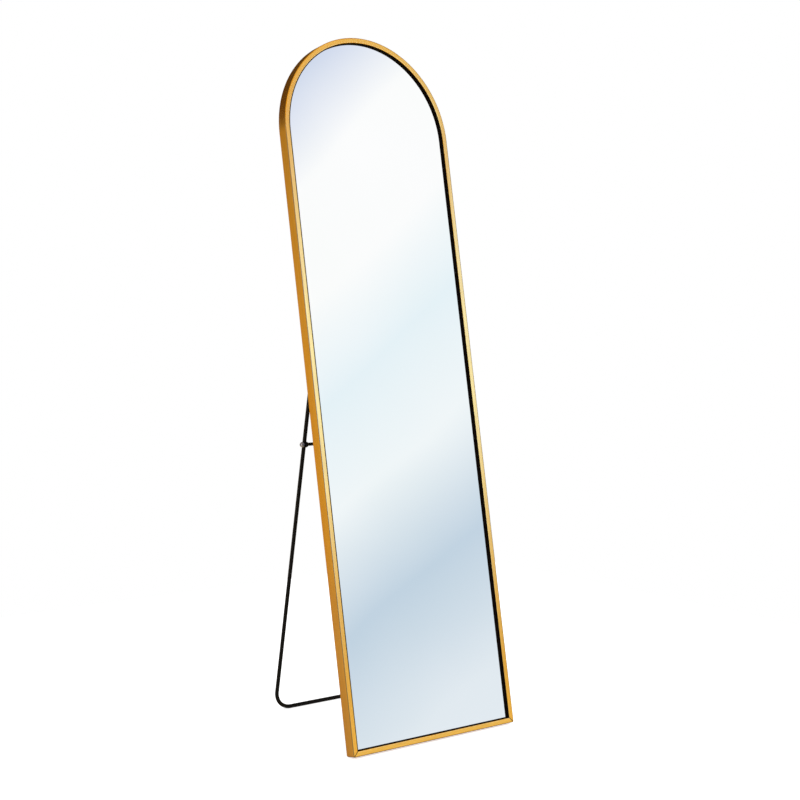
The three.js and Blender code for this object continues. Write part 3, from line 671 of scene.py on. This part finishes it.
# %% Helpers for node trees
def material(name):
    made = bpy.data.materials.new(name)
    made.use_nodes = True
    return made, made.node_tree, made.node_tree.nodes["Principled BSDF"]


def steady(shader, **values):
    """Numbers that are the same all over a surface go straight onto the shader's sockets."""
    for name, value in values.items():
        shader.inputs[name.replace("_", " ")].default_value = value


def feed(tree, socket, value):
    """A node's output is linked to the socket; a colour or a number is set on it."""
    if isinstance(value, bpy.types.NodeSocket):
        tree.links.new(value, socket)
    elif isinstance(value, tuple):
        socket.default_value = (*value, 1)
    else:
        socket.default_value = value


def calc(tree, operation, *values):
    made = tree.nodes.new("ShaderNodeMath")
    made.operation = operation
    for socket, value in zip(made.inputs, values):
        feed(tree, socket, value)
    return made.outputs[0]


def times(tree, first, second):
    return calc(tree, "MULTIPLY", first, second)


def rest_of(tree, share):
    return calc(tree, "SUBTRACT", 1.0, share)


def mixed(tree, share, first, second):
    made = tree.nodes.new("ShaderNodeMix")
    made.data_type = "RGBA"
    for index, value in ((0, share), (6, first), (7, second)):
        feed(tree, made.inputs[index], value)
    return made.outputs[2]


def ramp(tree, source, stops):
    """Colours along a line; a stop that is one number is a grey."""
    made = tree.nodes.new("ShaderNodeValToRGB")
    points = made.color_ramp.elements
    while len(points) < len(stops):
        points.new(0.5)
    for point, (place, colour) in zip(points, stops):
        point.position = place
        point.color = (*colour, 1) if isinstance(colour, tuple) else (colour, colour, colour, 1)
    tree.links.new(source, made.inputs["Fac"])
    return made.outputs["Color"]


def eased_step(tree, value, low, high):
    """0 up to low, 1 from high on, and an S curve between."""
    made = tree.nodes.new("ShaderNodeMapRange")
    made.interpolation_type = "SMOOTHSTEP"
    made.inputs["From Min"].default_value, made.inputs["From Max"].default_value = low, high
    tree.links.new(value, made.inputs["Value"])
    return made.outputs[0]


def noise(tree, source, scale, stretch=(1, 1, 1), detail=3.0, roughness=0.5):
    """Noise on coordinates multiplied by a stretch, so that its grains turn into streaks."""
    mapping = tree.nodes.new("ShaderNodeMapping")
    mapping.inputs["Scale"].default_value = stretch
    made = tree.nodes.new("ShaderNodeTexNoise")
    steady(made, Scale=scale, Detail=detail, Roughness=roughness)
    tree.links.new(source, mapping.inputs["Vector"])
    tree.links.new(mapping.outputs["Vector"], made.inputs["Vector"])
    return made.outputs["Fac"]


def bumped(tree, shader, height, strength, distance):
    bump = tree.nodes.new("ShaderNodeBump")
    steady(bump, Strength=strength, Distance=distance)
    tree.links.new(height, bump.inputs["Height"])
    tree.links.new(bump.outputs["Normal"], shader.inputs["Normal"])


def finished(tree, shader, colour, roughness):
    """Base colour and roughness, each a fixed value or a node's output."""
    feed(tree, shader.inputs["Base Color"], colour)
    feed(tree, shader.inputs["Roughness"], roughness)


def on_object(tree):
    """Places in the room, which stay put on a piece."""
    return tree.nodes.new("ShaderNodeTexCoord").outputs["Object"]


def own_map(tree, name):
    """The two numbers of a piece's own map, and the map itself."""
    made = tree.nodes.new("ShaderNodeUVMap")
    made.uv_map = name
    split = tree.nodes.new("ShaderNodeSeparateXYZ")
    tree.links.new(made.outputs["UV"], split.inputs[0])
    return split.outputs["X"], split.outputs["Y"], made.outputs["UV"]


print("node helpers ready")

# %% [markdown]
# ### Gold anodised aluminium
#
# The extrusion is brushed along its length and anodised: a clear oxide layer grows on the metal and
# takes up a yellow dye. So the metal's own reflection is deep gold and stretched across the brushing,
# while the oxide's smooth top adds a white sheen, which makes the gold pale wherever the room is
# bright. Metallic base, anisotropy turned across the streaks, and a coat with the oxide's refractive
# index of 1.77 say just that.
#
# The colour differs over the profile. The side faces are a darker, deeper orange, a painted shade for
# the dimmer room that they reflect. Along the outer corner of the straight sides runs a painted
# reflection, an olive brown dark line that fades out on the bend, so the bend is evenly gold. The saw cuts
# of the mitre are dark.

# %% Gold anodised aluminium
gold, tree, shader = material("gold_anodised")
along, across, both = own_map(tree, "along_across")
to_cut, side_mask, _ = own_map(tree, "cut_side")
streaks = noise(tree, both, 1.0, stretch=(14, 900, 1), detail=4)
hairlines = noise(tree, both, 1.0, stretch=(60, 5200, 1), detail=2)
patches = noise(tree, both, 9.0, stretch=(1, 6, 1), detail=2)
front_tone = ramp(tree, streaks, [
    (0.32, (0.8, 0.48, 0.055)), (0.5, (0.87, 0.53, 0.07)), (0.68, (0.93, 0.58, 0.09)),
])
# painted shade: the side faces are coloured darker and more orange than the front, for the dimmer room that
# they reflect
side_tone_painted_shade = ramp(tree, streaks, [
    (0.32, (0.64, 0.3, 0.022)), (0.5, (0.72, 0.34, 0.026)), (0.68, (0.79, 0.39, 0.035)),
])
tone = mixed(tree, side_mask, front_tone, side_tone_painted_shade)
# the olive brown here is a painted reflection: it colours a dark line along the outer front corner, for the
# dark room that this corner reflects
PALE_PATCH, PAINTED_CORNER_REFLECTION, DARK_CUT = (0.93, 0.62, 0.19), (0.17, 0.13, 0.055), (0.05, 0.022, 0.004)
tone = mixed(tree, times(tree, eased_step(tree, patches, 0.35, 0.75), 0.12), tone, PALE_PATCH)
# mask of the painted dark reflection line on the outer corner, faded out on the bend
corner = rest_of(tree, eased_step(tree, across, 0.0008, 0.0022))
on_bend = eased_step(tree, to_cut, 1.17, 1.25)
corner = times(tree, corner, calc(tree, "SUBTRACT", 0.9, times(tree, on_bend, 0.8)))
tone = mixed(tree, corner, tone, PAINTED_CORNER_REFLECTION)
tone = mixed(tree, rest_of(tree, eased_step(tree, to_cut, 0.0005, 0.0013)), tone, DARK_CUT)
finished(tree, shader, tone, ramp(tree, streaks, [(0.3, 0.36), (0.7, 0.28)]))
steady(shader, Metallic=1.0, Anisotropic=0.75, Anisotropic_Rotation=0.25,
       Coat_Weight=0.8, Coat_IOR=1.77, Coat_Roughness=0.22)
tangent = tree.nodes.new("ShaderNodeTangent")
tangent.direction_type, tangent.uv_map = "UV_MAP", "along_across"
tree.links.new(tangent.outputs["Tangent"], shader.inputs["Tangent"])
bumped(tree, shader, hairlines, 0.1, 0.00005)
print("gold nodes", len(tree.nodes))

# %% [markdown]
# ### Liner and glass
#
# The liner is soft black plastic with a matt, slightly grainy skin. It has to swallow light, because
# in the photograph it draws the dark outline of the glass. The glass is silvered behind, so it is
# a metal mirror with the faint cold tint of float glass, which drifts slowly across it.

# %% Black liner
rubber, tree, shader = material("black_liner")
grain = noise(tree, on_object(tree), 900)
tone = ramp(tree, grain, [(0.3, (0.0018, 0.0008, 0.0004)), (0.7, (0.0045, 0.002, 0.001))])
finished(tree, shader, tone, ramp(tree, grain, [(0.3, 0.75), (0.7, 0.9)]))
steady(shader, Specular_IOR_Level=0.05)
bumped(tree, shader, grain, 0.2, 0.0001)

# %% Silvered glass
silver, tree, shader = material("silvered_glass")
drift = noise(tree, on_object(tree), 3.0, detail=2)
tone = ramp(tree, drift, [(0.3, (0.955, 0.97, 0.965)), (0.7, (0.975, 0.98, 0.985))])
finished(tree, shader, tone, 0.0)
steady(shader, Metallic=1.0)
print("glass and liner ready")

# %% [markdown]
# ### Black powder coat and bright zinc
#
# The stand and the brackets are powder coated. Powder melts into a skin with a fine orange peel, and
# it wears to a slightly smoother black where hands and the floor rub it. The small fasteners are zinc
# plated: bluish grey, with a fine uneven crystal pattern and paler blooms.

# %% Black powder coat
powder, tree, shader = material("black_powder_coat")
place = on_object(tree)
orange_peel = noise(tree, place, 420)
wear = noise(tree, place, 16, detail=4)
tone = ramp(tree, orange_peel, [(0.3, (0.004, 0.004, 0.005)), (0.7, (0.008, 0.008, 0.009))])
finished(tree, shader, tone, ramp(tree, wear, [(0.35, 0.42), (0.5, 0.5), (0.7, 0.56)]))
steady(shader, Specular_IOR_Level=0.12)
bumped(tree, shader, orange_peel, 0.25, 0.0001)

# %% Zinc-plated steel
zinc, tree, shader = material("zinc_plate")
place = on_object(tree)
spangle = noise(tree, place, 300, detail=4)
bloom = noise(tree, place, 60, detail=2)
tone = ramp(tree, spangle, [(0.3, (0.38, 0.38, 0.44)), (0.7, (0.56, 0.56, 0.63))])
tone = mixed(tree, times(tree, eased_step(tree, bloom, 0.5, 0.75), 0.25), tone, (0.68, 0.66, 0.62))
finished(tree, shader, tone, ramp(tree, spangle, [(0.3, 0.3), (0.7, 0.46)]))
steady(shader, Metallic=0.7)
bumped(tree, shader, spangle, 0.15, 0.0001)
print("coat and zinc ready")

# %% [markdown]
# ### Foam and backing board
#
# A thin white foam sheet protects the silvering, and a black faced fibreboard closes the back. The
# board is pressed from fibres, so its face has short fibres at a slight slant, a slow mottle and a
# few pale scuffs where it was handled.

# %% White foam
foam, tree, shader = material("white_foam")
cells = noise(tree, on_object(tree), 700, detail=2)
finished(tree, shader, ramp(tree, cells, [(0.3, (0.72, 0.72, 0.69)), (0.7, (0.86, 0.86, 0.83))]), 0.9)
bumped(tree, shader, cells, 0.4, 0.0002)

# %% Black faced fibreboard
board, tree, shader = material("black_fibreboard")
place = on_object(tree)
fibres = noise(tree, place, 260, stretch=(1, 1, 0.22), detail=6, roughness=0.65)
mottle = noise(tree, place, 14, detail=4)
scuffs = noise(tree, place, 5, stretch=(1, 1, 3), detail=7, roughness=0.7)
tone = ramp(tree, mottle, [(0.3, (0.016, 0.0155, 0.015)), (0.7, (0.028, 0.0265, 0.025))])
tone = mixed(tree, times(tree, eased_step(tree, fibres, 0.52, 0.72), 0.4), tone, (0.05, 0.047, 0.043))
tone = mixed(tree, times(tree, eased_step(tree, scuffs, 0.62, 0.74), 0.3), tone, (0.1, 0.095, 0.088))
finished(tree, shader, tone, ramp(tree, fibres, [(0.3, 0.9), (0.7, 0.7)]))
steady(shader, Specular_IOR_Level=0.3)
bumped(tree, shader, fibres, 0.35, 0.0002)

# %% Put each finish on its pieces
finish_of = {
    "gold_aluminium": gold, "black_gasket": rubber, "silvered_glass": silver, "white_foam": foam,
    "black_fibreboard": board, "black_steel": powder, "zinc_steel": zinc,
}
slot_of = {part["node"]: part["material_slot"] for part in frame["record"]["subparts"]}
for name, thing in frame["nodes"].items():
    thing.data.materials.clear()
    thing.data.materials.append(finish_of[slot_of[name]])
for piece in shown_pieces():
    if "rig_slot" in piece:
        piece.data.materials.clear()
        piece.data.materials.append(finish_of[piece["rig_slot"]])

# %% [markdown]
# ## What the mirror and the metal see
#
# A mirror is only as convincing as the room in front of it. The photograph's mirror holds a bright
# sky with soft bands of cloud, and the gold shows where the room is light and where it is dark. All
# of that is painted on the world, for reflected rays alone: bearings run round the horizon, 0 facing
# the mirror squarely, and rises run up from it.
#
# The lamps and an even ambient do the lighting, so the world's brightness in a reflection never adds
# light to a matt surface.

# %% Directions in the world, and helpers that paint on them
world = bpy.data.worlds.new("studio")
bpy.context.scene.world = world
world.use_nodes = True
sky_tree = world.node_tree
sky_tree.nodes.clear()
DEGREE = 180 / math.pi
direction = sky_tree.nodes.new("ShaderNodeTexCoord").outputs["Generated"]
split = sky_tree.nodes.new("ShaderNodeSeparateXYZ")
sky_tree.links.new(direction, split.inputs[0])
facing = times(sky_tree, split.outputs["Y"], -1.0)
bearing = times(sky_tree, calc(sky_tree, "ARCTAN2", split.outputs["X"], facing), DEGREE)
rise = times(sky_tree, calc(sky_tree, "ARCSINE", split.outputs["Z"]), DEGREE)


def between(value, low, high, soft):
    """1 between low and high, with soft shoulders."""
    up = eased_step(sky_tree, value, low - soft, low + soft)
    down = eased_step(sky_tree, value, high - soft, high + soft)
    return times(sky_tree, up, rest_of(sky_tree, down))


def seen(red, green, blue):
    """A colour as it is seen, 0 to 255, turned into the light that makes it."""
    value = np.array([red, green, blue]) / 255
    light = np.where(value <= 0.04045, value / 12.92, ((value + 0.055) / 1.055) ** 2.4)
    return tuple(float(v) for v in light)


print("white as light", seen(255, 255, 255), "pale blue as light", seen(214, 230, 240))

# %% [markdown]
# The sky's bands slant down to the right, so they are a ramp of the height above a tilted circle
# rather than of the plain rise. Seven tones make them: haze, a veil of cloud, blue, bright cloud, a
# pale band, pure white and a lilac blue high up. A coarse noise bends the bands a little. Away from
# the stretch of sky that the photograph shows, soft white clouds take over.

# %% Sky for the mirror
SLANT = 0.55
MIDDLE = 38.5
tilt = math.atan(SLANT)
middle = math.radians(MIDDLE)
axis = Vector((-math.sin(tilt) * math.cos(middle), -math.sin(tilt) * math.sin(middle), math.cos(tilt)))
dot = sky_tree.nodes.new("ShaderNodeVectorMath")
dot.operation = "DOT_PRODUCT"
dot.inputs[1].default_value = axis
sky_tree.links.new(direction, dot.inputs[0])
band = times(sky_tree, calc(sky_tree, "ARCSINE", dot.outputs["Value"]), DEGREE / math.cos(tilt))
bend = calc(sky_tree, "SUBTRACT", noise(sky_tree, direction, 9.0, detail=2), 0.5)
band = calc(sky_tree, "ADD", band, times(sky_tree, bend, 1.6))
LOW, HIGH = -20.0, 40.0
HAZE, VEIL, BLUE = seen(236, 241, 246), seen(228, 236, 242), seen(196, 213, 228)
CLOUD, PALE, LILAC, WHITE = seen(244, 249, 251), seen(232, 244, 249), seen(210, 219, 239), (1.0, 1.0, 1.0)
stops = [(-14, HAZE), (1.5, VEIL), (6.2, BLUE), (10.4, CLOUD), (14.2, PALE), (17.6, WHITE), (21.4, WHITE),
         (24.6, LILAC), (36, CLOUD)]
scaled = calc(sky_tree, "DIVIDE", calc(sky_tree, "SUBTRACT", band, LOW), HIGH - LOW)
sky = ramp(sky_tree, scaled, [((place - LOW) / (HIGH - LOW), tone) for place, tone in stops])
puffs = eased_step(sky_tree, noise(sky_tree, direction, 5.0, detail=4, roughness=0.5), 0.42, 0.7)
clouds = mixed(sky_tree, puffs, seen(206, 220, 234), seen(250, 253, 254))
clouds = mixed(sky_tree, eased_step(sky_tree, rise, -4, 9), WHITE, clouds)
sky = mixed(sky_tree, rest_of(sky_tree, between(bearing, 25, 52, 8)), sky, clouds)
print("sky bands", len(stops))

# %% [markdown]
# The gold is satin, so it doesn't show the sky's bands but the big shapes of the room: warm light low
# down, a cool bright strip where the sky stands, a dark patch on either side, which the rounded outer
# corners look at, and behind the mirror a fall from gold to deep brown. A ray that left the glass is
# perfectly sharp, and the light path node tells it from one that left the satin metal, so the two
# surfaces get the surroundings they need.

# %% The room for satin metal
WARM_LOW, WARM_HIGH, COOL_STRIP = (0.88, 0.6, 0.08), (0.92, 0.57, 0.1), (1.5, 2.15, 4.3)
DARK_RIGHT, DARK_LEFT = (0.09, 0.07, 0.035), (0.1, 0.095, 0.08)
WARM_SIDES, WARM_CEILING = (0.8, 0.58, 0.14), (0.6, 0.4, 0.14)
room = mixed(sky_tree, eased_step(sky_tree, rise, 18, 26), WARM_LOW, WARM_HIGH)
room = mixed(sky_tree, between(rise, 8.8, 19.5, 3.2), room, COOL_STRIP)
room = mixed(sky_tree, eased_step(sky_tree, bearing, 47, 58), room, DARK_RIGHT)
room = mixed(sky_tree, eased_step(sky_tree, bearing, 76, 88), room, WARM_SIDES)
low_down = rest_of(sky_tree, eased_step(sky_tree, rise, 18, 34))
room = mixed(sky_tree, times(sky_tree, between(bearing, -72, -22, 6), low_down), room, DARK_LEFT)
room = mixed(sky_tree, eased_step(sky_tree, rise, 44, 60), room, WARM_CEILING)
fading = ramp(sky_tree, eased_step(sky_tree, rise, -8, 24), [
    (0.1, (0.8, 0.56, 0.13)), (0.34, (0.58, 0.37, 0.06)),
    (0.6, (0.22, 0.13, 0.025)), (0.95, (0.1, 0.05, 0.01)),
])
room = mixed(sky_tree, rest_of(sky_tree, between(bearing, -112, 112, 8)), room, fading)
print("room painted")

# %% Which ray sees what
AMBIENT = (0.62, 0.62, 0.63)
ray = sky_tree.nodes.new("ShaderNodeLightPath").outputs
reflected = calc(sky_tree, "MAXIMUM", ray["Is Glossy Ray"], ray["Is Transmission Ray"])
reflection = mixed(sky_tree, ray["Is Singular Ray"], room, sky)
ambient = mixed(sky_tree, ray["Is Camera Ray"], AMBIENT, WHITE)
background = sky_tree.nodes.new("ShaderNodeBackground")
sky_tree.links.new(mixed(sky_tree, reflected, ambient, reflection), background.inputs["Color"])
output = sky_tree.nodes.new("ShaderNodeOutputWorld")
sky_tree.links.new(background.outputs[0], output.inputs["Surface"])
print("world nodes", len(sky_tree.nodes))

# %% [markdown]
# ## Floor and lamps
#
# The photograph was cut out on white, with no shadow at all. A plain floor that glows a little and
# takes a little light comes closest: it reads white, it still darkens where the object touches it,
# and a small sheet of it has no horizon. Satin metal sees it in a warm tint, as if it were wood, so
# the lower part of the frame stays gold.

# %% Floor
REACH = 1.4
CAMERA_GLOW, MIRROR_GLOW = 0.62, 0.1
FLOOR_WHITE, WOOD_IN_FRONT, WOOD_BEHIND = (0.8, 0.8, 0.8), (1.0, 0.82, 0.42), (0.6, 0.42, 0.14)
floor_mesh = bpy.data.meshes.new("floor")
corners = [(-REACH, -REACH, 0), (REACH, -REACH, 0), (REACH, REACH, 0), (-REACH, REACH, 0)]
floor_mesh.from_pydata(corners, [], [(0, 1, 2, 3)])
floor = bpy.data.objects.new("floor", floor_mesh)
bpy.context.collection.objects.link(floor)
floor_finish, tree, shader = material("white_floor")
ray = tree.nodes.new("ShaderNodeLightPath").outputs
mirrored = calc(tree, "MAXIMUM", ray["Is Glossy Ray"], ray["Is Transmission Ray"])
in_satin = calc(tree, "SUBTRACT", ray["Is Glossy Ray"], ray["Is Singular Ray"])
split = tree.nodes.new("ShaderNodeSeparateXYZ")
tree.links.new(on_object(tree), split.inputs[0])
wood = mixed(tree, eased_step(tree, split.outputs["Y"], -0.6, -0.1), WOOD_IN_FRONT, WOOD_BEHIND)
finished(tree, shader, mixed(tree, in_satin, FLOOR_WHITE, wood), 0.9)
steady(shader, Specular_IOR_Level=0.0)
glow = tree.nodes.new("ShaderNodeEmission")
camera_glow = times(tree, ray["Is Camera Ray"], CAMERA_GLOW)
tree.links.new(calc(tree, "ADD", camera_glow, times(tree, mirrored, MIRROR_GLOW)), glow.inputs["Strength"])
both = tree.nodes.new("ShaderNodeAddShader")
tree.links.new(shader.outputs[0], both.inputs[0])
tree.links.new(glow.outputs[0], both.inputs[1])
tree.links.new(both.outputs[0], tree.nodes["Material Output"].inputs["Surface"])
floor.data.materials.append(floor_finish)
print("floor", 2 * REACH, "m square")

# %% Lamps
def softbox(name, place, aim, size, power):
    """A square lamp that lights the object but isn't seen as a white square in glass or metal."""
    lamp = bpy.data.lights.new(name, "AREA")
    lamp.shape, lamp.size, lamp.energy = "SQUARE", size, power
    thing = bpy.data.objects.new(name, lamp)
    thing.location = place
    thing.rotation_euler = (Vector(aim) - Vector(place)).to_track_quat("-Z", "Y").to_euler()
    thing.visible_glossy = False
    bpy.context.collection.objects.link(thing)


softbox("key_softbox", (2.2, -2.6, 3.0), (0, 0, 0.6), 2.4, 95)
softbox("fill_softbox", (-2.8, -0.6, 2.6), (0, 0, 0.6), 2.4, 45)
